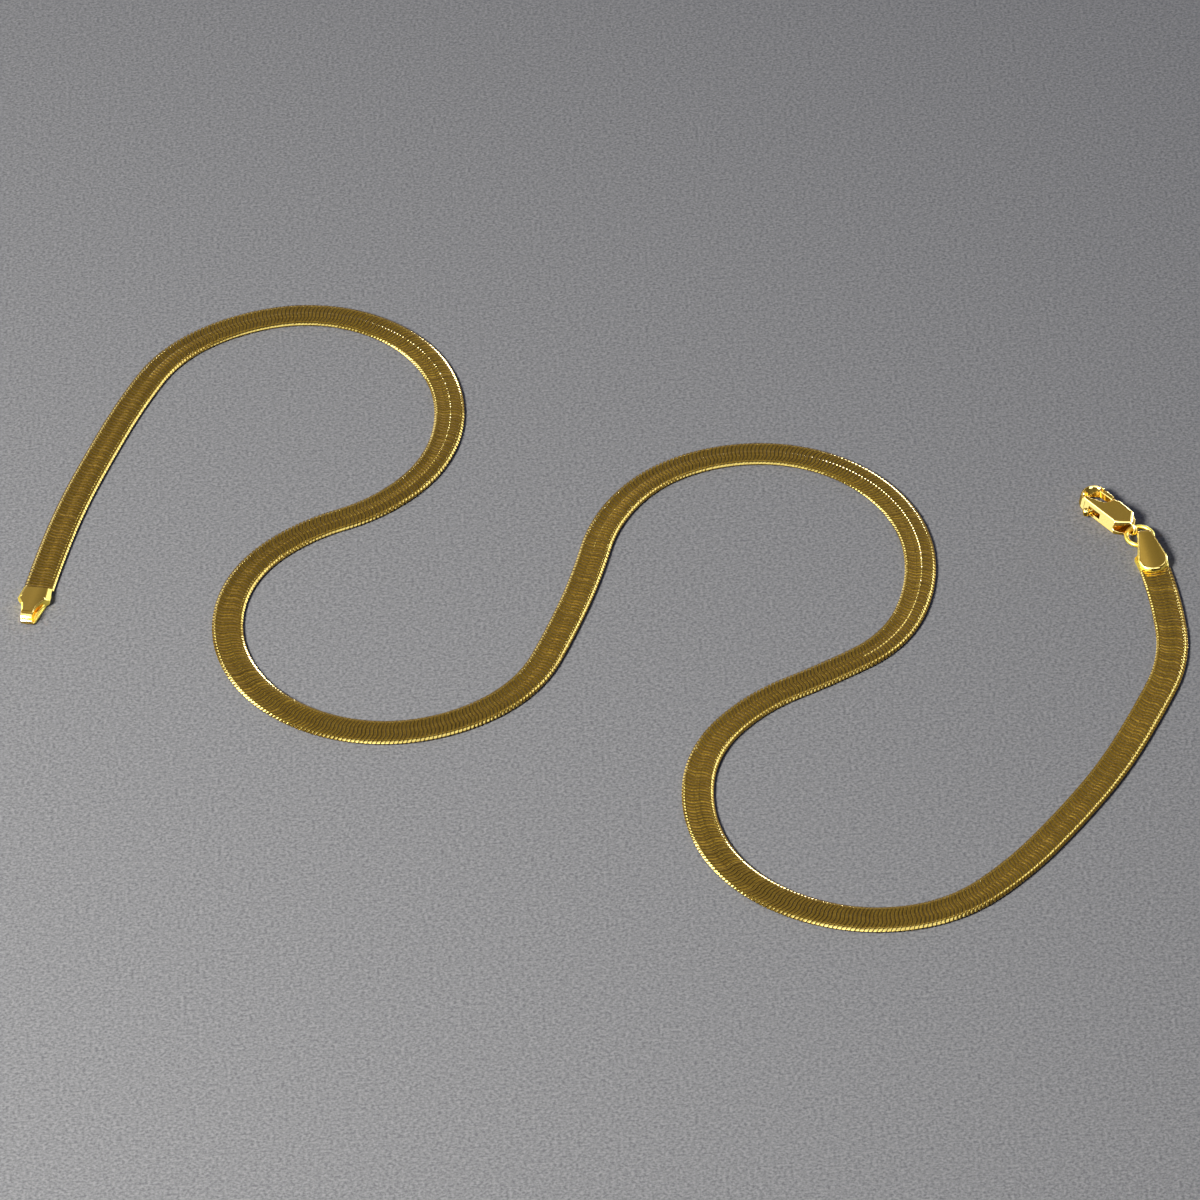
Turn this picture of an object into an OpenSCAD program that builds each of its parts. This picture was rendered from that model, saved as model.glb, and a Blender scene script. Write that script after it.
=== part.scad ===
// Herringbone neck chain with a trigger clasp, lying open in a serpentine on a flat surface.
// Units are millimetres, +Z is up, and the surface that it lies on is at Z = 0.
// The origin is on that surface, under the middle of the whole chain.

/* [Chain] */
// Length of the woven band between its two end caps
chain_length = 440; // [400:5:600]
// Width of the band
chain_w = 3.9; // [3.4:0.1:5]
// Thickness of the band
chain_t = 0.6; // [0.55:0.05:0.9]
// Width of the sloped cut along each edge
bevel_w = 0.5; // [0.3:0.05:0.6]
// Depth of the sloped cut, on the face and on the back
bevel_d = 0.2; // [0.1:0.02:0.24]

/* [End caps] */
// Length of each cap, from the fold of its eye to its mouth
cap_length = 6.2; // [5.6:0.1:8]
// Length of the pear-shaped plate, from the fold to its round end
pear_length = 6.9; // [6.6:0.1:9]
// Thickness of the sheet that the eye and the lower plate are made of
sheet_t = 0.3; // [0.24:0.02:0.34]
// Height of the folded eye
eye_h = 1.9; // [1.7:0.05:2.4]
// Height of the upper plate at the mouth
cap_mouth_h = 1.25; // [1.1:0.05:1.6]
// Width of the folded eye
neck_w = 1.5; // [1.1:0.02:1.6]
// How much wider the shoulders are than the band
shoulder_extra = 0.2; // [0.1:0.05:0.5]
// How much narrower the mouth is than the band
mouth_less = 0.3; // [0.2:0.05:0.7]
// Distance of the shoulders from the fold
shoulder_at = 3.9; // [3.7:0.1:4.3]
// Length of the straight neck behind the fold
neck_length = 1.2; // [0.9:0.1:1.6]
// Distance of the far end of the eye's opening from the fold
eye_end = 3.4; // [2.9:0.1:3.5]

/* [Jump ring] */
// Diameter of the ring along the middle of its wire
ring_d = 3.35; // [3.2:0.05:4]
// Diameter of the wire
ring_wire = 0.55; // [0.4:0.05:0.6]

/* [Clasp] */
// Length of the clasp from its tail to the top of its hook
clasp_length = 10; // [9.8:0.1:12]
// Width of the plate
clasp_w = 3.7; // [3.5:0.1:4.2]
// Thickness of the clasp
clasp_h = 2.1; // [2:0.05:2.6]
// Width of the tail
tail_w = 0.9; // [0.7:0.05:1]
// Outer radius of the hook
hook_r = 1.93; // [1.8:0.01:2.1]
// Width of the metal round the hook
hook_w = 0.95; // [0.8:0.05:1.05]
// Turn of the clasp against the end of the chain, in degrees
clasp_turn = 28; // [24:1:32]

/* [Lever] */
// Thickness of the lever between the plates
lever_t = 0.7; // [0.6:0.05:0.9]
// Thickness of the gate and of the thumb tab outside the plates
gate_t = 1.2; // [1:0.05:1.4]
// Width of the gate
gate_w = 0.56; // [0.4:0.02:0.6]
// Diameter of the pin
pin_d = 0.7; // [0.5:0.05:0.8]

/* [Hidden] */
$fn = 72;
gold = "#d8a93f";

// Clearances
gap = 0.03;
pin_gap = 0.02;
bore_gap = 0.03;
lever_gap = 0.05;
over = 1;

// Turns of the equal stretches of the band in degrees, left turns positive, from the loop end
bends = [-3, -5, -2, -6, -30, -23, -29, -28, -29, -28, -31, -25, 23, 34, 31, 29, 26, 27, 25, 32, 4, 6,
         -25, -31, -26, -28, -27, -28, -24, -37, -5, 23, 34, 27, 29, 24, 26, 30, 11, 4, 8, 3, 27, 8];
// Heading of the band at its loop end, its short straight runs out of the caps, and its round stretches
first_heading = 77;
stretches = len(bends);
loop_run = 0.45;
clasp_run = 0.75;
stretch = (chain_length - loop_run - clasp_run) / stretches;
parts_per_bend = 6;

// The route: heading and place where each stretch starts
function unit(a) = [cos(a), sin(a)];
function left_of(a) = [-sin(a), cos(a)];
function heading(i) = i == 0 ? first_heading : heading(i - 1) + bends[i - 1];
function chord(turn, run) = turn == 0 ? run : run * sin(turn / 2) / (turn / 2 * PI / 180);
function step_from(h, turn, part) = chord(turn * part, stretch * part) * unit(h + turn * part / 2);
function start_of(i) = i == 0 ? loop_run * unit(first_heading) : start_of(i - 1) + step_from(heading(i - 1), bends[i - 1], 1);
headings = [for (i = [0 : stretches]) heading(i)];
starts = [for (i = [0 : stretches]) start_of(i)];

shoulder_w = chain_w + shoulder_extra;
mouth_w = chain_w - mouth_less;

// Outline points of the band and of the first cap, from which the middle is worked out
band_outline = [for (i = [0 : stretches - 1], k = [0 : parts_per_bend - 1], s = [-1, 1])
    let (part = k / parts_per_bend)
    starts[i] + step_from(headings[i], bends[i], part)
        + s * chain_w / 2 * left_of(headings[i] + bends[i] * part)];
cap_outline = [for (s = [-1, 1])
    (shoulder_at - cap_length) * unit(first_heading) + s * shoulder_w / 2 * left_of(first_heading)];
outline = concat(band_outline, cap_outline);
x_all = [for (p = outline) p[0]];
y_all = [for (p = outline) p[1]];
middle = [(min(x_all) + max(x_all)) / 2, (min(y_all) + max(y_all)) / 2];

// End caps, drawn along +X from the fold of the eye
eye_r = eye_h / 2;
pear_r = chain_w / 2 - 0.08;
pear_at = pear_length - pear_r;
plate_t = sheet_t + 0.04;
pocket_w = mouth_w - 0.4;
pocket_from = eye_end + 0.6;
pocket_top = chain_t + gap;
nose_z = eye_r - 0.1;
flank_x = shoulder_at - neck_length;
flank_y = (shoulder_w - neck_w) / 2;
flank_r = (flank_x * flank_x + flank_y * flank_y) / (2 * flank_y);

// Flattened end of the band inside a cap, over the plate that reaches under the band
tongue_w = pocket_w - 2 * gap;
tongue_length = cap_length - pocket_from - gap;
tongue_low = plate_t + gap / 2;
lip_length = pear_length - cap_length + gap;

// Where the band ends inside each cap, and the fold of each eye
loop_end = [0, 0];
last_heading = headings[stretches];
clasp_end = starts[stretches] + clasp_run * unit(last_heading);
loop_tip = loop_end - (cap_length + gap) * unit(first_heading);
clasp_tip = clasp_end + (cap_length + gap) * unit(last_heading);

// Jump ring, set back from the fold of the clasp's end cap and to its left
ring_back = 0.5;
ring_side = 0.55;
ring_z = eye_r - 0.03;
ring_at = clasp_tip - ring_back * unit(last_heading) + ring_side * left_of(last_heading);

// Clasp, drawn along +X from the point that hangs on the ring, with its spine towards +Y
tail_back = 0.15;
ring_to_tail = 0.77;
ring_to_axis = 0.13;
clasp_heading = last_heading + clasp_turn;
clasp_at = ring_at + ring_to_tail * unit(clasp_heading) - ring_to_axis * left_of(clasp_heading);
tail_r = clasp_h / 2;
tail_x = tail_r - tail_back;
tail_sheet = 0.4;
tail_slot_end = 2.1;
tail_slot_r = 0.4;
plate_half = clasp_w / 2;
hook_x = clasp_length - tail_back - hook_r;
hook_in = hook_r - hook_w;
hook_z0 = 0.1;
hook_edge = 0.3;
neck_x = 0.75;
flare_x = 2.3;
// How far from the middle of the hook the plate ends, its gap starts and ends, and its opening reaches
plate_back = 2.3;
gap_back = 2.2;
gap_front = 0.2;
eye_back = 1.45;
notch_ahead = 0.25;
plate_end_x = hook_x - plate_back;
gap_in_x = hook_x - gap_back;
gap_out_x = hook_x - gap_front;
eye_low = [hook_x - eye_back, -0.35];
eye_low_r = 0.78;
notch_x = hook_x + notch_ahead;
notch_y = -1.43;

// Hollow of the clasp for the lever, and the window in its spine for the thumb tab
hollow_h = lever_t + 2 * lever_gap;
hollow_z = (clasp_h - hollow_h) / 2;
spine_w = 0.5;
spine_y = plate_half - spine_w;
pivot_back = 3.22;
pivot = [hook_x - pivot_back, -0.85];
hollow_x = pivot[0] - 1.1;
window = [pivot[0] + 0.3, pivot[0] + 2.3];

// Lever: hub on its pivot, knee, way through the window, and thumb tab
hub_r = 0.72;
knee = pivot + [1.05, 1.5];
knee_r = 0.36;
way = pivot + [1.75, 2.2];
way_r = 0.3;
tab = pivot + [2.05, 3.25];
tab_r = 0.42;
gate_y = -1.72;
gate_from = plate_end_x + 0.33;
gate_to = gap_out_x - 0.08;
finger_to = notch_x - 0.1;
pin_top = clasp_h - 0.3;

// Two circles and the straight belt round them
module belt(a, ra, b, rb) {
    way_ab = b - a;
    dir = atan2(way_ab[1], way_ab[0]);
    lean = acos((ra - rb) / norm(way_ab));
    translate(a) circle(r = ra);
    translate(b) circle(r = rb);
    polygon([a + ra * unit(dir + lean), b + rb * unit(dir + lean),
             b + rb * unit(dir - lean), a + ra * unit(dir - lean)]);
}

// Section of the band above a height: flat face and back, sloped cuts along both edges
function band_section(low) =
    let (half = chain_w / 2, flat_half = half - bevel_w)
    [[-flat_half, low], [flat_half, low], [half, max(low, bevel_d)], [half, chain_t - bevel_d],
     [flat_half, chain_t], [-flat_half, chain_t], [-half, chain_t - bevel_d], [-half, max(low, bevel_d)]];

// Section of the flattened end inside a cap, with as many corners
function tongue_section() =
    let (half = tongue_w / 2, flat_half = half - gap, mid = (tongue_low + chain_t) / 2)
    [[-flat_half, tongue_low], [flat_half, tongue_low], [half, mid - gap], [half, mid + gap],
     [flat_half, chain_t], [-flat_half, chain_t], [-half, mid + gap], [-half, mid - gap]];

// A section stood across the band at a place with a heading
function ring(place, h, section) =
    [for (p = section) concat(place - p[0] * left_of(h), p[1])];

// Place and heading on the route, a share of the way along a stretch
function place_on(i, part) = starts[i] + step_from(headings[i], bends[i], part);
function heading_on(i, part) = headings[i] + bends[i] * part;

module in_place() translate([-middle[0], -middle[1], 0]) children();

// Woven band, swept along its route as one closed skin
module chain_band() color(gold) in_place() {
    lip = (lip_length - loop_run) / stretch;
    step = gap / stretch;
    out_first = loop_end - tongue_length * unit(first_heading);
    out_last = clasp_end + tongue_length * unit(last_heading);
    rings = concat(
        [ring(out_first, first_heading, tongue_section())],
        [ring(loop_end - gap * unit(first_heading), first_heading, tongue_section())],
        [ring(loop_end, first_heading, band_section(tongue_low))],
        [ring(place_on(0, lip), heading_on(0, lip), band_section(tongue_low))],
        [ring(place_on(0, lip + step), heading_on(0, lip + step), band_section(0))],
        [for (i = [0 : stretches - 1], k = [(i == 0 ? 1 : 0) : parts_per_bend - 1])
            let (part = k / parts_per_bend) ring(place_on(i, part), heading_on(i, part), band_section(0))],
        [ring(clasp_end, last_heading, band_section(0))],
        [ring(clasp_end + gap * unit(last_heading), last_heading, tongue_section())],
        [ring(out_last, last_heading, tongue_section())]
    );
    corners = len(rings[0]);
    last = len(rings) - 1;
    sides = [for (j = [0 : last - 1], k = [0 : corners - 1])
        let (next = (k + 1) % corners)
        [j * corners + k, j * corners + next, (j + 1) * corners + next, (j + 1) * corners + k]];
    polyhedron(
        points = [for (r = rings) for (p = r) p],
        faces = concat([[for (k = [corners - 1 : -1 : 0]) k]], sides,
            [[for (k = [0 : corners - 1]) last * corners + k]])
    );
}

// Side view of a cap: round fold, flat foot and a top that slopes down to the mouth
module cap_side() {
    corner = [pear_length, cap_mouth_h];
    centre = [eye_r, eye_r];
    from_centre = corner - centre;
    a = atan2(from_centre[1], from_centre[0]) + acos(eye_r / norm(from_centre));
    translate(centre) circle(r = eye_r);
    polygon([[eye_r, 0], [pear_length, 0], corner, centre + eye_r * unit(a), centre]);
}

// Opening of the eye, seen from the side
module eye_side() {
    inner_r = eye_r - sheet_t;
    start = inner_r - 0.05;
    nose = 0.25;
    translate([eye_r, eye_r]) circle(r = inner_r);
    polygon([[eye_r, eye_r - start], [eye_end - nose, nose_z - nose], [eye_end, nose_z - nose / 2],
             [eye_end, nose_z + nose / 2], [eye_end - nose, nose_z + nose], [eye_r, eye_r + start]]);
}

// Plate with a narrow neck, hollow flanks and shoulders, seen from above
module bottle_plan() {
    difference() {
        polygon([[-over, -neck_w / 2], [neck_length, -neck_w / 2], [neck_length, -shoulder_w / 2],
                 [shoulder_at, -shoulder_w / 2], [cap_length, -mouth_w / 2],
                 [cap_length, mouth_w / 2], [shoulder_at, shoulder_w / 2],
                 [neck_length, shoulder_w / 2], [neck_length, neck_w / 2], [-over, neck_w / 2]]);
        for (s = [-1, 1]) translate([neck_length, s * (neck_w / 2 + flank_r)]) circle(r = flank_r, $fn = 144);
    }
}

// Pear-shaped plate, seen from above
module pear_plan() {
    tip = [0, neck_w / 2];
    centre = [pear_at, 0];
    away = tip - centre;
    a = atan2(away[1], away[0]) - acos(pear_r / norm(away));
    touch = centre + pear_r * unit(a);
    translate(centre) circle(r = pear_r, $fn = 144);
    polygon([[-over, -tip[1]], [0, -tip[1]], [touch[0], -touch[1]], touch, tip, [-over, tip[1]]]);
}

// A cap whose part below the given height has the first plan, and the rest the second
module cap(split) {
    difference() {
        union() {
            intersection() {
                translate([0, chain_w, 0]) rotate([90, 0, 0]) linear_extrude(2 * chain_w) cap_side();
                translate([0, 0, -over]) linear_extrude(over + split) children(0);
            }
            intersection() {
                translate([0, chain_w, 0]) rotate([90, 0, 0]) linear_extrude(2 * chain_w) cap_side();
                translate([0, 0, split]) linear_extrude(eye_h) children(1);
            }
        }
        translate([0, chain_w, 0]) rotate([90, 0, 0]) linear_extrude(2 * chain_w) eye_side();
        translate([pocket_from, -pocket_w / 2, plate_t])
            cube([pear_length, pocket_w, pocket_top - plate_t]);
    }
}

// Cap at the end that the clasp hooks into: the pear-shaped plate is underneath
module loop_end_cap() color(gold) in_place()
    translate(loop_tip) rotate([0, 0, first_heading]) cap(plate_t) {
        pear_plan();
        bottle_plan();
    }

// Cap at the clasp: the same piece the other way up, with the pear-shaped plate on top
module clasp_end_cap() color(gold) in_place()
    translate(clasp_tip) rotate([0, 0, last_heading + 180]) cap(pocket_top) {
        bottle_plan();
        pear_plan();
    }

module jump_ring() color(gold) in_place()
    translate([ring_at[0], ring_at[1], ring_z]) rotate_extrude($fn = 96)
        translate([ring_d / 2, 0]) circle(d = ring_wire, $fn = 32);

module at_clasp() translate([clasp_at[0], clasp_at[1], 0]) rotate([0, 0, clasp_heading]) children();

// Plate of the clasp from its tail to the root of the hook, seen from above
module plate_plan() {
    polygon([[-tail_back - over, -tail_w / 2], [neck_x, -tail_w / 2], [flare_x - 0.3, -plate_half + 0.1],
             [flare_x, -plate_half], [plate_end_x - 0.9, -plate_half - 0.05], [plate_end_x, -plate_half + 0.35],
             [plate_end_x + 0.4, -0.3], [hook_x, 0.4], [hook_x, hook_r], [flare_x, plate_half],
             [flare_x - 0.6, plate_half - 0.4], [neck_x, tail_w / 2], [-tail_back - over, tail_w / 2]]);
}

// The hook: a flat-sided wire bent round the opening
module hook() {
    section = [[hook_in, hook_edge], [hook_in + hook_edge, 0], [hook_r - hook_edge, 0], [hook_r, hook_edge]];
    top = clasp_h - 2 * hook_z0;
    shape = concat(section, [for (i = [3 : -1 : 0]) [section[i][0], top - section[i][1]]]);
    translate([hook_x, 0, hook_z0]) rotate([0, 0, -100]) rotate_extrude(angle = 195, $fn = 180) polygon(shape);
}

module clasp_body() color(gold) in_place() at_clasp() difference() {
    union() {
        intersection() {
            linear_extrude(clasp_h) plate_plan();
            translate([0, 2 * clasp_w, 0]) rotate([90, 0, 0]) linear_extrude(4 * clasp_w) union() {
                translate([tail_x, tail_r]) circle(r = tail_r);
                translate([tail_x, 0]) square([clasp_length, clasp_h]);
            }
        }
        hook();
    }
    // Opening inside the hook
    translate([0, 0, -over]) linear_extrude(clasp_h + 2 * over)
        belt([hook_x, 0], hook_in, eye_low, eye_low_r);
    // Gap that the gate closes, and the seat of the gate's finger behind the tip of the hook
    translate([0, 0, -over]) linear_extrude(clasp_h + 2 * over) {
        polygon([[gap_in_x, -clasp_w], [gap_out_x, -clasp_w], [gap_out_x, notch_y], [notch_x, notch_y],
                 [notch_x, -0.6], [gap_in_x, -0.6]]);
    }
    // Hollow for the lever, open towards the gate
    translate([0, 0, hollow_z]) linear_extrude(hollow_h) {
        polygon([[hollow_x, -clasp_w], [gap_in_x + over, -clasp_w], [gap_in_x + over, 0], [window[1], 0.6],
                 [window[1], spine_y], [hollow_x + 0.7, spine_y], [hollow_x, 0.5]]);
        translate([window[0], 0]) square([window[1] - window[0], clasp_w]);
    }
    // Slot through the tail for the ring
    translate([0, 2 * clasp_w, 0]) rotate([90, 0, 0]) linear_extrude(4 * clasp_w)
        belt([tail_x, tail_r], tail_r - tail_sheet, [tail_slot_end, tail_r], tail_slot_r);
    // Bore for the pin, blind under the upper plate
    translate([pivot[0], pivot[1], -over]) cylinder(d = pin_d + 2 * pin_gap, h = over + pin_top + pin_gap);
}

// Gate, seen from above
module gate_plan() {
    polygon([[gate_from, gate_y], [gate_to, gate_y], [gate_to, notch_y + 0.05], [finger_to, notch_y + 0.05],
             [finger_to, gate_y + gate_w + 0.1], [gate_from, gate_y + gate_w]]);
}

module clasp_lever() color(gold) in_place() at_clasp() difference() {
    union() {
        translate([0, 0, (clasp_h - lever_t) / 2]) linear_extrude(lever_t) {
            translate(pivot) circle(r = hub_r);
            polygon([[pivot[0], pivot[1] - hub_r], [gate_from + 0.2, gate_y], [gate_from + 0.2, gate_y + gate_w],
                     [pivot[0] + 0.5, pivot[1] + 0.4]]);
            belt(pivot, 0.6, knee, knee_r);
            belt(knee, knee_r, way, way_r);
            belt(way, way_r, tab, way_r);
        }
        translate([0, 0, (clasp_h - gate_t) / 2]) linear_extrude(gate_t) {
            gate_plan();
            translate(tab) circle(r = tab_r);
        }
    }
    translate([pivot[0], pivot[1], -over]) cylinder(d = pin_d + 2 * bore_gap, h = clasp_h + 2 * over);
}

module lever_pin() color(gold) in_place() at_clasp()
    translate([pivot[0], pivot[1], 0]) cylinder(d = pin_d, h = pin_top);

chain_band();
loop_end_cap();
clasp_end_cap();
jump_ring();
clasp_body();
clasp_lever();
lever_pin();
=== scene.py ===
"""Looks of the herringbone neck chain: woven links, polished end pieces, floor, light and camera."""
import math

import bpy
import numpy as np
from mathutils import Matrix, Vector


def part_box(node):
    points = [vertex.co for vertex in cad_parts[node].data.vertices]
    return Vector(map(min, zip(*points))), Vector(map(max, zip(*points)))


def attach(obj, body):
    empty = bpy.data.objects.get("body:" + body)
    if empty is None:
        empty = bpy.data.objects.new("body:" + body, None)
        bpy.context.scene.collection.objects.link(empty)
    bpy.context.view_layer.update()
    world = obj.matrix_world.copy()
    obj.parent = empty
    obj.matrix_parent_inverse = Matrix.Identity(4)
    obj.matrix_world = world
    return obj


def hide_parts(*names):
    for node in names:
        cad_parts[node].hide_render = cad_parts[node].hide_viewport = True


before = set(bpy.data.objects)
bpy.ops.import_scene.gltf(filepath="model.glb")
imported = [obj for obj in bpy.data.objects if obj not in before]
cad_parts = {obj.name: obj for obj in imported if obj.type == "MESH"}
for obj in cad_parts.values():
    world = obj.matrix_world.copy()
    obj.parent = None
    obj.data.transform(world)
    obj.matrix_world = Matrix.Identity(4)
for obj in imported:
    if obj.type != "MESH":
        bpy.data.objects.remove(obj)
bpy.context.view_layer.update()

MM = 0.001
NECKLACE = "necklace"
TRIGGER = "trigger"
SEED = 7

# Sizes of the band in millimetres, as in the part's source
CHAIN_LENGTH = 440.0
CHAIN_W = 3.9
CHAIN_T = 0.6
BEVEL_W = 0.5
BEVEL_D = 0.2
FLAT_HALF = CHAIN_W / 2 - BEVEL_W
LOOP_RUN = 0.45
CLASP_RUN = 0.75
FIRST_HEADING = 77.0
ROUTE_SAMPLES = 4001
# Turns of the equal stretches of the band in degrees, left turns positive, from the loop end
BENDS = [-3, -5, -2, -6, -30, -23, -29, -28, -29, -28, -31, -25, 23, 34, 31, 29, 26, 27, 25, 32, 4, 6,
         -25, -31, -26, -28, -27, -28, -24, -37, -5, 23, 34, 27, 29, 24, 26, 30, 11, 4, 8, 3, 27, 8]

# The weave: links across the band, each bent twice like a flat S, with a straight middle
LINK_PITCH = 0.5
LINK_GAP = 0.05
OUTER_SLANT = 0.5
INNER_SLANT = -0.12
MIDDLE_HALF = 0.65
SLANT_BLEND = 0.25
# The S straightens out over this length at each end of the band
SLANT_FADE = 3.0
# Gap between links on the sloped cut, from CUT_INSET outside the flat face. A bend opens it on its
# outside and closes it on its inside, by CUT_FAN of what stiff links would, within two limits
CUT_GAP = 0.07
CUT_FAN = 0.8
CUT_GAP_LEAST = 0.005
CUT_GAP_MOST = 0.2
CUT_INSET = 0.06
# Places across the band with a section of the link: on the face, and as parts of the sloped cut
FACE_STATIONS = (0.36, 0.9, 1.16)
CUT_STATIONS = (-0.1, 0.1, 0.3, 0.5, 0.7, 0.88, 1)
# Corners round a link's section, as parts of its half width: along the top, then beneath
LINK_TOP = (-1, -0.87, -0.35, 0.35, 0.87, 1)
LINK_UNDER = (1, 0, -1)
# How far the underside rises towards its sides, and the top may stand above the band
LINK_SKIN = 0.12
LINK_PROUD = 0.06
# How far the top of a link curves down towards its sides, on the face and on the sloped cut
FACE_CROWN = 0.02
CUT_CROWN = 0.011
# Extra drop of the outermost corners on the face, and the power that rounds the sloped cut
EDGE_DROP = 0.015
CUT_ROUND = 1.55
# Unevenness of the links: tilt in degrees, the share of it on the cut, and height
TILT_SPREAD = 2.4
CUT_TILT = 0.4
HEIGHT_SPREAD = 0.006
# Low ridges where the wire of a link is bent: places across the band, left positive, and heights
BEADS = ((0.12, 0.056), (-0.5, 0.026))
# Width of a ridge's steep left side and of its gentle right side
BEAD_STEEP = 0.12
BEAD_GENTLE = 0.6
# Sections beside its top and at both ends of the steep side keep its shading apart from the face's
BEAD_TOP = 0.02
BEAD_BRINK = 0.015
# A ridge is full where a stretch turns right by BEAD_BEND degrees, and never under BEAD_LEAST of that.
# Each link has its own share of it, and it sinks by BEAD_FALL towards a link's sides
BEAD_BEND = 28.0
BEAD_LEAST = 0.35
BEAD_SHARES = (0.86, 1.0)
BEAD_FALL = 0.6
LINKS_PER_PIECE = 220
# Edges of links sharper than this many degrees are shaded as edges
LINK_SHARP = 18.0

# End caps in millimetres, as in the part's source
CAP_LENGTH = 6.2
PEAR_LENGTH = 6.9
SHEET_T = 0.3
EYE_R = 0.95
CAP_MOUTH_H = 1.25
NECK_W = 1.5
SHOULDER_W = 4.1
MOUTH_W = 3.6
SHOULDER_AT = 3.9
NECK_LENGTH = 1.2
EYE_END = 3.4
NOSE_Z = 0.85
PEAR_R = 1.87
PLATE_T = 0.34
POCKET_W = 3.2
POCKET_FROM = 4.0
POCKET_TOP = 0.63
TIP_GAP = 0.03
EYE_STEP = 0.05
EYE_NOSE = 0.25
# The fold's two rolls: height of the seam between them, and radius and height of the lower one
SEAM_Z = 1.3
ROLL_R = 0.424
ROLL_Z = 0.729

# Jump ring
RING_D = 3.35
RING_WIRE = 0.55
RING_BACK = 0.5
RING_SIDE = 0.55
RING_Z = 0.92

# Clasp in millimetres. The plate, the gap, the eye and the pivot are measured back from the middle of
# the hook, and the notch ahead of it
CLASP_LENGTH = 10.0
CLASP_W = 3.7
CLASP_H = 2.1
CLASP_TURN = 28.0
TAIL_W = 0.9
TAIL_BACK = 0.15
TAIL_SHEET = 0.4
TAIL_SLOT_END = 2.1
TAIL_SLOT_R = 0.4
HOOK_R = 1.93
HOOK_W = 0.95
HOOK_Z0 = 0.1
HOOK_EDGE = 0.36
HOOK_FROM = -100.0
HOOK_TO = 95.0
NECK_X = 0.75
FLARE_X = 2.3
PLATE_BACK = 2.3
# Corners of the plate: how far the flare is cut on the near and the far side, how far its near end
# swells and is cut, the end's tip, and where the spine's inside and outside leave the hook
FLARE_NEAR = (0.3, 0.1)
FLARE_FAR = (0.6, 0.4)
END_SWELL = (0.9, 0.05)
END_CUT = 0.35
END_TIP = (0.4, -0.3)
SPINE_AHEAD = 0.7
SPINE_INNER_Y = 0.4
SPINE_DROP = 0.14
GAP_BACK = 2.2
GAP_FRONT = 0.2
EYE_BACK = 1.45
EYE_LOW_R = 0.78
EYE_LOW_Y = -0.35
GAP_TOP = -0.6
NOTCH_AHEAD = 0.25
NOTCH_Y = -1.43
SPINE_W = 0.5
PIVOT_BACK = 3.22
PIVOT_Y = -0.85
# The hollow for the lever and the window in the spine, from the pivot, and the hollow's corners
HOLLOW_BACK = 1.1
HOLLOW_AHEAD = 1.0
HOLLOW_CORNER = 0.7
HOLLOW_Y = 0.5
WINDOW_FROM = 0.3
WINDOW_TO = 2.3
WINDOW_Y = 0.6
BORE_FLOOR = 0.3
RING_TO_TAIL = 0.77
RING_TO_AXIS = 0.13
HOOK_X = CLASP_LENGTH - TAIL_BACK - HOOK_R
PIVOT = np.array([HOOK_X - PIVOT_BACK, PIVOT_Y])
# How far the clasp and its lever reach to the sides, with some to spare
CLASP_LOW_Y = -2.1
CLASP_HIGH_Y = 3.1
# Far outside of any outline
BEYOND = 8.0

# Lever and pin
LEVER_T = 0.7
LEVER_GAP = 0.05
GATE_T = 1.2
GATE_W = 0.56
GATE_Y = -1.72
GATE_INSET = 0.33
GATE_SPARE = 0.08
FINGER_SPARE = 0.1
FINGER_RISE = 0.1
HUB_R = 0.72
ARM_R = 0.6
KNEE_R = 0.36
WAY_R = 0.3
TAB_R = 0.42
# Places of the lever's arm, from its pivot, and where the arm joins the gate
KNEE = (1.05, 1.5)
WAY = (1.75, 2.2)
TAB = (2.05, 3.25)
ROOT_INSET = 0.2
ROOT_CORNER = (0.5, 0.4)
PIN_D = 0.7
PIN_GAP = 0.02
BORE_GAP = 0.03

# Polished edges: how far they are rounded or cut
CAP_EDGE = 0.06
CAP_BEVEL = 0.42
PEAR_EDGE = 0.28
EYE_EDGE = 0.04
CLASP_EDGE = 0.3
OPENING_EDGE = 0.1
GAP_EDGE = 0.04
HOLLOW_EDGE = 0.05
HOOK_END_EDGE = 0.08
LEVER_EDGE = 0.06
GATE_EDGE = 0.12
TAB_EDGE = 0.36
# The bottle's bevel begins this far before its shoulder and grows over this length
BEVEL_BEFORE = 0.35
BEVEL_BLEND = 0.4
# Walls draw in by this much per millimetre of height, and plates sink by this much times y squared
WALL_TAPER = 0.2
PLATE_ARCH = 0.028
# Shading: normals of walls lean up, and those inside the lower plate lean towards the fold
WALL_LIFT = 0.5
INNER_LEAN = 0.45
FACES_UP = 0.7
# Inside of a cap, which takes the gold with painted bounce light: deeper than this under its skin, or on
# the lower plate beyond the fold
INNER_SKIN = 0.15
INNER_ABOVE = 0.15
INNER_BEYOND = 0.1
# Fineness of the skins, how often their points are drawn onto the form, and steps round the ring
# and round its wire
CAP_STEP = 0.055
CLASP_STEP = 0.06
SKIN_PASSES = 3
RING_STEPS = (160, 32)
# The angle that leaves no edge sharp
ALL_SMOOTH = 180.0

# Floor cloth: its shade, and the colours of its dark and pale threads as parts of that
FLOOR_SHADE = 0.074
FLOOR_HALF = 3000.0
THREAD_DARK = (0.63, 0.62, 0.62)
THREAD_PALE = (1.37, 1.35, 1.31)
THREAD_STOPS = (0.39, 0.61)
# Noise per metre of its threads and of their shades, and how deep they are in millimetres
THREAD_SCALE = 3600.0
THREAD_STRETCH = (0.75, 1.0, 1.0)
SHADE_SCALE = 2200.0
THREAD_DEPTH = 0.05

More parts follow.
